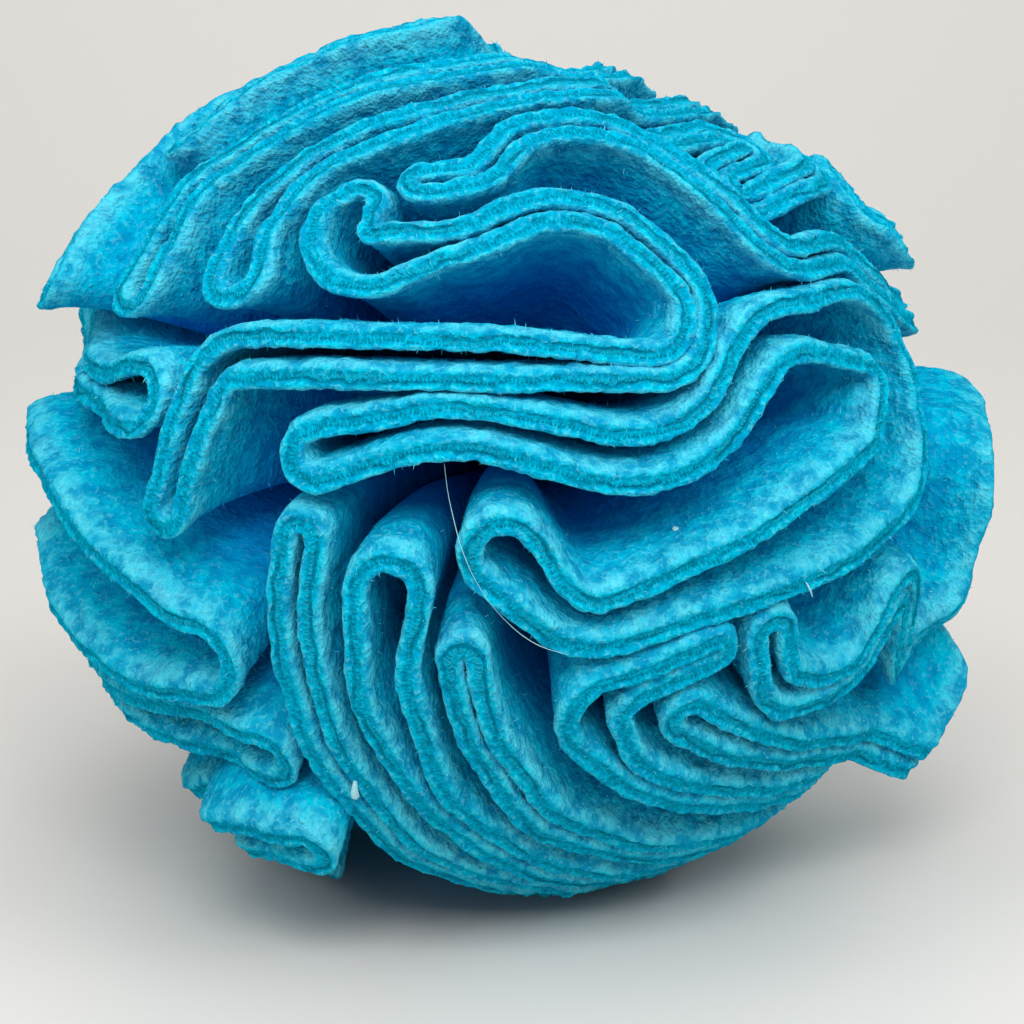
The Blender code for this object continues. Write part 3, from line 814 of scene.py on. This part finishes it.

# Worked out from the patterns: name, operation and what goes in. `along` and `side` are places
# on the cloth in mm, along the cut edge and across it. The ground's rows wander a little, and so
# do the loops in them; the shaded course is broken up where the combed pattern is high.
BROKEN = (0.45, 0.70, 0.0, 0.16)
SUMS = (
    ("lie", "ABSOLUTE", "side"),
    ("mottle_and_clumps", "ADD", "mottle", "clumps"),
    ("wander", "SUBTRACT", "drift", 0.5),
    ("row", "MULTIPLY_ADD", "wander", ROW_DRIFT, "side"),
    ("from_row", "ABSOLUTE", "row"),
    ("past_stitches", "ADD", "row", STITCH_ROW),
    ("from_stitches", "ABSOLUTE", "past_stitches"),
    ("past_course", "SUBTRACT", "row", SHADED_COURSE),
    ("off_course", "ABSOLUTE", "past_course"),
    ("from_course", "SUBTRACT", "off_course", "broken"),
    ("shifted", "MULTIPLY_ADD", "wander", LOOP_DRIFT, "along"),
    ("turns", "MULTIPLY", "shifted", 2 * math.pi / LOOP_PITCH),
    ("loop_wave", "SINE", "turns"),
)

# Smooth steps: of what, where the step begins and ends, and its value before and after.
# `lie` and what starts with `from` are in mm.
Step = namedtuple("Step", "of begins ends before after", defaults=(0.0, 1.0))
STEPS = {
    # Painted shade between the nubs: below this step the pile keeps its painted shade colour.
    "on_nub": Step("clumps", 0.30, 0.56),
    # Painted light on the nubs' tops, stronger in random mottled patches: these two steps.
    "on_tuft": Step("clumps", 0.46, 0.66),
    "lit_patches": Step("mottle", 0.36, 0.62, 0.35),
    # Painted shade: the further down the face from the cut edge, the more of the darker, bluer fold
    # colour.
    "deep": Step("lie", 3.0, 20.0, 0.0, 0.85),
    "near_edge": Step("lie", 9.0, 2.0, 0.35),
    # Painted shade between the beads near the cut edge.
    "between_beads": Step("beads", 0.48, 0.32, 0.0, 0.55),
    # Painted highlight: pale glints on the bead tops near the cut edge.
    "glint": Step("beads", 0.52, 0.68, 0.0, 0.32),
    # Painted highlight along the rolled pile of the cut edge, in frayed patches: these four steps.
    "roll_begins": Step("lie", 0.80, 1.5),
    "roll_ends": Step("lie", 5.0, 1.8),
    "pale_patches": Step("mottle_and_clumps", 0.84, 1.16, 0.05, 0.55),
    "frayed": Step("combed", 0.30, 0.66, 0.45),
    "ground_part": Step("from_row", 0.95, 0.30),
    "dark_course": Step("from_course", 0.24, 0.04),
    "course_shows": Step("mottle", 0.42, 0.58, 0.1),
    "loop": Step("loop_wave", 0.0, 1.0),
    "stitched": Step("from_stitches", 0.34, 0.06),
    "loops_show": Step("mottle", 0.48, 0.60, 0.15, 0.9),
    "ground_beads": Step("beads", 0.36, 0.62),
    "bead_relief": Step("lie", 10.0, 2.0, 0.32, 0.50),
    "comb_relief": Step("lie", 4.0, 1.5, 0.0, 0.2),
}

# Layers of colour, each over the one before: its colour and the steps that say how much shows.
PILE_LAYERS = (
    ("pile_colour", ("on_nub",)),
    # painted light on the nubs' tops, in random mottled patches
    ("pile_lit_tops", ("on_tuft", "lit_patches")),
    # painted shade, darker and bluer, down in the folds
    ("pile_fold_shade", ("deep",)),
    # painted shade between the beads near the cut edge
    ("pile_shade_between_nubs", ("between_beads", "near_edge")),
    # painted highlight: pale glints on the bead tops near the cut edge
    ("pile_tip_highlight", ("glint", "near_edge")),
    # painted highlight on the rolled pile along the cut edge
    ("pile_tip_highlight", ("roll_begins", "roll_ends", "pale_patches", "frayed")),
)
GROUND_LAYERS = (
    ("pile_colour", ("ground_beads",)),
    ("ground_loops", ("loop", "stitched", "loops_show")),
    ("ground_dark", ("dark_course", "course_shows", 0.75)),
)


def new_material(name):
    """A material with its node tree and its shader."""
    material = bpy.data.materials.new(name)
    material.use_nodes = True
    return material, material.node_tree, material.node_tree.nodes["Principled BSDF"]


def add_node(tree, kind, inputs=(), output=0, **settings):
    """Adds a node with its settings. Inputs are values or the sockets that they come from."""
    node = tree.nodes.new(kind)
    for key, value in settings.items():
        setattr(node, key, value)
    for key, value in inputs.items() if isinstance(inputs, dict) else enumerate(inputs):
        if isinstance(value, bpy.types.NodeSocket):
            tree.links.new(value, node.inputs[key])
        else:
            node.inputs[key].default_value = value
    return node.outputs[output]


def brushed_fleece(settings):
    """Anti-pilling polyester fleece: knitted, then brushed and sheared on both faces.

    Gives the eye matte, mottled blue with soft nubs 1 to 2 mm across, with painted light on the
    nubs' tops, painted shade between them and a darker, bluer painted shade down in the folds;
    a pale painted highlight where the pile rolls over the cut edge and on the beads near it; and
    between the two rolls the darker knitted ground with its loops.
    """
    material, tree, shader = new_material("brushed polyester fleece")
    math_node, noise_node = "ShaderNodeMath", "ShaderNodeTexNoise"
    smooth = {"interpolation_type": "SMOOTHSTEP"}
    place = add_node(tree, "ShaderNodeTexCoord", output="Object")
    cloth = add_node(tree, "ShaderNodeAttribute", output="Vector", attribute_name="cloth")
    of = {
        "along": add_node(tree, "ShaderNodeSeparateXYZ", (cloth,), "X"),
        "side": add_node(tree, "ShaderNodeSeparateXYZ", (cloth,), "Y"),
    }
    for name, pattern in PATTERNS.items():
        inputs = {"Vector": place, "Scale": 1 / (pattern.size * MM)}
        inputs.update({"Detail": pattern.detail, "Roughness": pattern.rough})
        of[name] = add_node(tree, noise_node, inputs)
    squashed = add_node(tree, "ShaderNodeVectorMath", (cloth, COMBED), operation="MULTIPLY")
    inputs = {"Vector": squashed, "Scale": 1.0, "Detail": 1.0, "Roughness": 0.5}
    of["combed"] = add_node(tree, noise_node, inputs)
    limits = (of["combed"], *BROKEN)
    of["broken"] = add_node(tree, "ShaderNodeMapRange", limits, **smooth)
    for name, operation, *inputs in SUMS:
        inputs = [of.get(key, key) for key in inputs]
        of[name] = add_node(tree, math_node, inputs, operation=operation)

    steps = {}
    for name, step in STEPS.items():
        steps[name] = add_node(tree, "ShaderNodeMapRange", (of[step.of], *step[1:]), **smooth)

    def layered(base, layers):
        colour = (*getattr(settings, base), 1.0)
        for over, shows in layers:
            amount = steps[shows[0]]
            for factor in shows[1:]:
                pair = (amount, steps.get(factor, factor))
                amount = add_node(tree, math_node, pair, operation="MULTIPLY")
            inputs = {0: amount, 6: colour, 7: (*getattr(settings, over), 1.0)}
            colour = add_node(tree, "ShaderNodeMix", inputs, 2, data_type="RGBA")
        return colour

    inputs = {
        0: steps["ground_part"],
        # the pile starts from the painted shade between the nubs
        6: layered("pile_shade_between_nubs", PILE_LAYERS),
        7: layered("ground_colour", GROUND_LAYERS),
    }
    colour = add_node(tree, "ShaderNodeMix", inputs, 2, data_type="RGBA")
    tree.links.new(colour, shader.inputs["Base Color"])

    shader.inputs["Roughness"].default_value = 0.95
    shader.inputs["Specular IOR Level"].default_value = 0.0
    shader.inputs["Sheen Weight"].default_value = 0.10
    shader.inputs["Sheen Roughness"].default_value = 0.5
    shader.inputs["Sheen Tint"].default_value = (*linear("#10d4f0"), 1.0)

    # The relief adds up from soft clumps, beads, the combed edge and the raised loops.
    relief = 0.0
    for first, second, weight in (
        (of["clumps"], 1.0, 0.6),
        (of["beads"], steps["bead_relief"], 1.0),
        (of["combed"], steps["comb_relief"], 1.0),
        (steps["loop"], steps["stitched"], 0.25),
        (steps["dark_course"], steps["course_shows"], -0.20),
    ):
        part = add_node(tree, math_node, (first, second), operation="MULTIPLY")
        relief = add_node(tree, math_node, (part, weight, relief), operation="MULTIPLY_ADD")
    inputs = {"Strength": 1.0, "Distance": RELIEF, "Height": relief}
    bump = add_node(tree, "ShaderNodeBump", inputs)
    tree.links.new(bump, shader.inputs["Normal"])
    return material


def loose_pile(settings):
    """Single polyester fibres teased out of the pile: fine, and painted pale in patches as a
    painted highlight.
    """
    material, tree, shader = new_material("teased polyester fibre")
    place = add_node(tree, "ShaderNodeTexCoord", output="Object")
    inputs = {"Vector": place, "Scale": 1 / (FIBRE_PATCHES * MM)}
    patches = add_node(tree, "ShaderNodeTexNoise", inputs)
    smooth = {"interpolation_type": "SMOOTHSTEP"}
    amount = add_node(tree, "ShaderNodeMapRange", (patches, 0.4, 0.65), **smooth)
    # painted highlight: the fibres take the pale highlight colour in patches
    inputs = {0: amount, 6: (*settings.pile_colour, 1.0), 7: (*settings.pile_tip_highlight, 1.0)}
    colour = add_node(tree, "ShaderNodeMix", inputs, 2, data_type="RGBA")
    tree.links.new(colour, shader.inputs["Base Color"])
    shader.inputs["Roughness"].default_value = 0.7
    shader.inputs["Specular IOR Level"].default_value = 0.2
    return material


def plain(name, colour, roughness):
    """A matte material of one linear colour, for small things and the studio."""
    material, _, shader = new_material(name)
    shader.inputs["Base Color"].default_value = (*colour, 1.0)
    shader.inputs["Roughness"].default_value = roughness
    return material


# ---- what a user may change ----


def colour_property(name, description, hex_colour):
    return bpy.props.FloatVectorProperty(
        name=name,
        description=description,
        subtype="COLOR",
        size=3,
        min=0,
        max=1,
        default=linear(hex_colour),
    )


def length_property(name, description, default):
    return bpy.props.FloatProperty(
        name=name, description=description, default=default, unit="LENGTH"
    )


def power_property(name, description, default):
    return bpy.props.FloatProperty(
        name=name, description=description, default=default, unit="POWER"
    )


class FleeceSettings(bpy.types.PropertyGroup):
    stitch_step: length_property(
        "Column spacing", "Distance between mesh columns along the cut edge", 0.00078
    )
    pile_height: length_property("Pile height", "Height of the nubs of pile", 0.00055)
    edge_rise: length_property("Edge unevenness", "How far the cut edge rises and dips", 0.0008)
    sway: length_property("Sway", "How far the folds wander sideways", 0.0005)
    droop: length_property("Droop", "How far the edges hang below the cloth behind them", 0.0035)
    fibres: bpy.props.IntProperty(
        name="Fibres", description="Loose fibres on each round", default=4500
    )
    fibre_length: length_property("Fibre length", "Usual length of a loose fibre", 0.00042)
    fibre_width: length_property("Fibre width", "Width of a loose fibre at its root", 0.00011)
    pile_colour: colour_property("Pile", "Colour of most of the pile", "#00b2d6")
    # Painted shade: the darker colour between the nubs and between the beads near the cut edge.
    pile_shade_between_nubs: colour_property("Pile, low", "Colour between the nubs", "#0096c2")
    # Painted light: the paler colour on the nubs' tops, in random mottled patches.
    pile_lit_tops: colour_property("Pile, worn", "Colour of the paler patches", "#00c4e0")
    # Painted highlight: the pale colour of the glints, of the rolled cut edge and of the loose
    # fibres' patches.
    pile_tip_highlight: colour_property("Pile tips", "Colour of fibre tips and of the rolled edge", "#70e0f0")
    # Painted shade down in the folds: a darker, bluer pile colour.
    pile_fold_shade: colour_property("Pile, deep", "Colour down in the folds", "#0084d8")
    ground_colour: colour_property(
        "Ground", "Colour of the knitted ground in the cut edge", "#018fb2"
    )
    ground_loops: colour_property(
        "Ground, loops", "Colour of the loops that catch light", "#34c4dc"
    )
    ground_dark: colour_property("Ground, gaps", "Colour between the courses", "#006a88")


class StudioSettings(bpy.types.PropertyGroup):
    floor_colour: colour_property("Floor", "Colour of the floor sweep", "#dfdcd7")
    front_power: power_property("Front light", "Power of the large soft light in front", 3.25)
    side_power: power_property(
        "Side lights", "Power of the right light; the left has four fifths", 1.0
    )
    overhead_power: power_property("Overhead light", "Power of the soft light overhead", 0.75)
    backdrop_power: power_property("Backdrop light", "Power of the soft light on the backdrop", 3.0)
    room_light: bpy.props.FloatProperty(
        name="Room light", description="Strength of the light from the room", default=0.40
    )


# ---- the studio, in metres ----

BALL_MIDDLE = (0, 0, 0.05)
BACKDROP_FOOT = (0, 1.4, 0.3)
SWEEP_HALF = 3.0  # half its width, and how far it comes forward
SWEEP_DEPTH = 0.95  # far enough back to stand behind a camera that looks from behind
SWEEP_BEND = 0.60
SWEEP_HEIGHT = 2.2
SWEEP_STEPS = 16
LEFT_SHARE = 0.8  # of the left light's power against the right one's

CAMERA_DISTANCE = 0.380
CAMERA_ELEVATION = math.radians(13)
CAMERA_LENS = 106.9  # mm, on a 36 mm sensor
AIM_LOWERED = 0.0070  # the camera looks this far below the heart
AIM_RIGHT = 0.0005


# ---- operators ----


def add_piece(context, name, mesh, material):
    """Puts a mesh in the scene as a piece of the ball."""
    piece = bpy.data.objects.new(name, mesh)
    mesh.materials.append(material)
    context.scene.collection.objects.link(piece)
    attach(piece, "root")
    return piece


class SNUFFLE_OT_fleece_rounds(bpy.types.Operator):
    """Add the folded rounds of fleece"""

    bl_idname = "snuffle.fleece_rounds"
    bl_label = "Add Fleece Rounds"

    def execute(self, context):
        settings = context.scene.snuffle_fleece
        fleece = brushed_fleece(settings)
        fibre = loose_pile(settings)
        names = list(DISCS)
        for number, name in enumerate(names):
            cloth = Round([Fold(*row) for row in DISCS[name]], number, settings)
            mesh = cloth.mesh("fleece_" + name)
            piece = add_piece(context, "fleece_" + name, mesh, fleece)
            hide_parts(name)
            mesh = fuzz_mesh("fuzz_" + name, cloth, number, settings)
            fuzz = add_piece(context, "fuzz_" + name, mesh, fibre)
        return {"FINISHED"}


class SNUFFLE_OT_stray_fibres(bpy.types.Operator):
    """Add the hair, the thread end and the lint that lie on the fleece"""

    bl_idname = "snuffle.stray_fibres"
    bl_label = "Add Stray Fibres"

    def execute(self, context):
        undyed = plain("undyed polyester and cotton lint", linear("#a6dfe8"), 0.8)
        for name, rows in STRAYS.items():
            mesh = strand_mesh("stray_" + name, [Stray(*row) for row in rows])
            add_piece(context, "stray_" + name, mesh, undyed)
        return {"FINISHED"}


class SNUFFLE_OT_studio(bpy.types.Operator):
    """Add the pale floor sweep, the soft lights and the camera"""

    bl_idname = "snuffle.studio"
    bl_label = "Add Studio"

    def execute(self, context):
        settings = context.scene.snuffle_studio
        scene = context.scene
        floor = sweep(settings)
        scene.collection.objects.link(floor)
        area_light("front light", (0.0, -0.55, 0.60), 0.42, settings.front_power)
        area_light("left light", (-0.38, -0.25, 0.45), 0.35, settings.side_power * LEFT_SHARE)
        area_light("right light", (0.38, -0.25, 0.45), 0.35, settings.side_power)
        area_light("overhead light", (0.0, 0.0, 0.62), 0.40, settings.overhead_power)
        backdrop_power = settings.backdrop_power
        area_light("backdrop light", (0.0, 0.45, 0.85), 0.60, backdrop_power, BACKDROP_FOOT)
        world = scene.world or bpy.data.worlds.new("room")
        scene.world = world
        world.use_nodes = True
        background = world.node_tree.nodes["Background"]
        background.inputs["Color"].default_value = (*linear("#eef1f4"), 1.0)
        background.inputs["Strength"].default_value = settings.room_light
        camera_for_ball(scene)
        scene.view_settings.view_transform = "Standard"
        return {"FINISHED"}


def sweep(settings):
    """A floor that curves up into a backdrop."""
    start = SWEEP_DEPTH - SWEEP_BEND
    section = [(-SWEEP_HALF, 0.0), (start, 0.0)]
    for k in range(1, SWEEP_STEPS + 1):
        turn = math.pi / 2 * k / SWEEP_STEPS
        rise = SWEEP_BEND * (1 - math.cos(turn))
        section.append((start + SWEEP_BEND * math.sin(turn), rise))
    section.append((SWEEP_DEPTH, SWEEP_HEIGHT))
    points = [(side * SWEEP_HALF, y, z) for y, z in section for side in (-1, 1)]
    faces = [(2 * i, 2 * i + 1, 2 * i + 3, 2 * i + 2) for i in range(len(section) - 1)]
    mesh = bpy.data.meshes.new("floor")
    mesh.from_pydata(points, [], faces)
    mesh.shade_smooth()
    mesh.materials.append(plain("matte paper sweep", settings.floor_colour, 0.42))
    return bpy.data.objects.new("floor", mesh)


def area_light(name, place, size, power, target=BALL_MIDDLE):
    """A square soft light that faces the target."""
    light = bpy.data.lights.new(name, "AREA")
    light.shape = "SQUARE"
    light.size = size
    light.energy = power
    lamp = bpy.data.objects.new(name, light)
    lamp.location = place
    aim(lamp, target)
    bpy.context.scene.collection.objects.link(lamp)


def aim(thing, target):
    """Turns a light or camera towards a point."""
    way = Vector(target) - Vector(thing.location)
    thing.rotation_euler = way.to_track_quat("-Z", "Y").to_euler()


def camera_for_ball(scene):
    """A long lens a little above the ball, aimed just below its heart."""
    cosine, sine = math.cos(CAMERA_ELEVATION), math.sin(CAMERA_ELEVATION)
    lens = bpy.data.cameras.new("camera")
    lens.sensor_width = 36.0
    lens.lens = CAMERA_LENS
    lens.clip_start = 0.01
    camera = bpy.data.objects.new("camera", lens)
    heart = HEART * MM
    back = np.array([0, -cosine, sine])
    rise = np.array([0, sine, cosine])
    camera.location = heart + back * CAMERA_DISTANCE
    aim(camera, heart - rise * AIM_LOWERED + np.array([AIM_RIGHT, 0, 0]))
    scene.collection.objects.link(camera)
    scene.camera = camera


class SNUFFLE_PT_panel(bpy.types.Panel):
    """Sizes, colours and steps of the snuffle ball"""

    bl_idname = "SNUFFLE_PT_panel"
    bl_label = "Snuffle Ball"
    bl_space_type = "VIEW_3D"
    bl_region_type = "UI"
    bl_category = "Snuffle Ball"

    def draw(self, context):
        layout = self.layout
        for settings in (context.scene.snuffle_fleece, context.scene.snuffle_studio):
            box = layout.box()
            for key in settings.bl_rna.properties.keys():
                if key not in ("rna_type", "name"):
                    box.prop(settings, key)
        layout.operator("snuffle.fleece_rounds")
        layout.operator("snuffle.stray_fibres")
        layout.operator("snuffle.studio")


CLASSES = (
    FleeceSettings,
    StudioSettings,
    SNUFFLE_OT_fleece_rounds,
    SNUFFLE_OT_stray_fibres,
    SNUFFLE_OT_studio,
    SNUFFLE_PT_panel,
)


def register():
    for cls in CLASSES:
        bpy.utils.register_class(cls)
    bpy.types.Scene.snuffle_fleece = bpy.props.PointerProperty(type=FleeceSettings)
    bpy.types.Scene.snuffle_studio = bpy.props.PointerProperty(type=StudioSettings)


def unregister():
    del bpy.types.Scene.snuffle_studio
    del bpy.types.Scene.snuffle_fleece
    for cls in reversed(CLASSES):
        bpy.utils.unregister_class(cls)


def main():
    register()
    bpy.ops.snuffle.fleece_rounds()
    bpy.ops.snuffle.stray_fibres()
    bpy.ops.snuffle.studio()


if __name__ == "__main__":
    main()
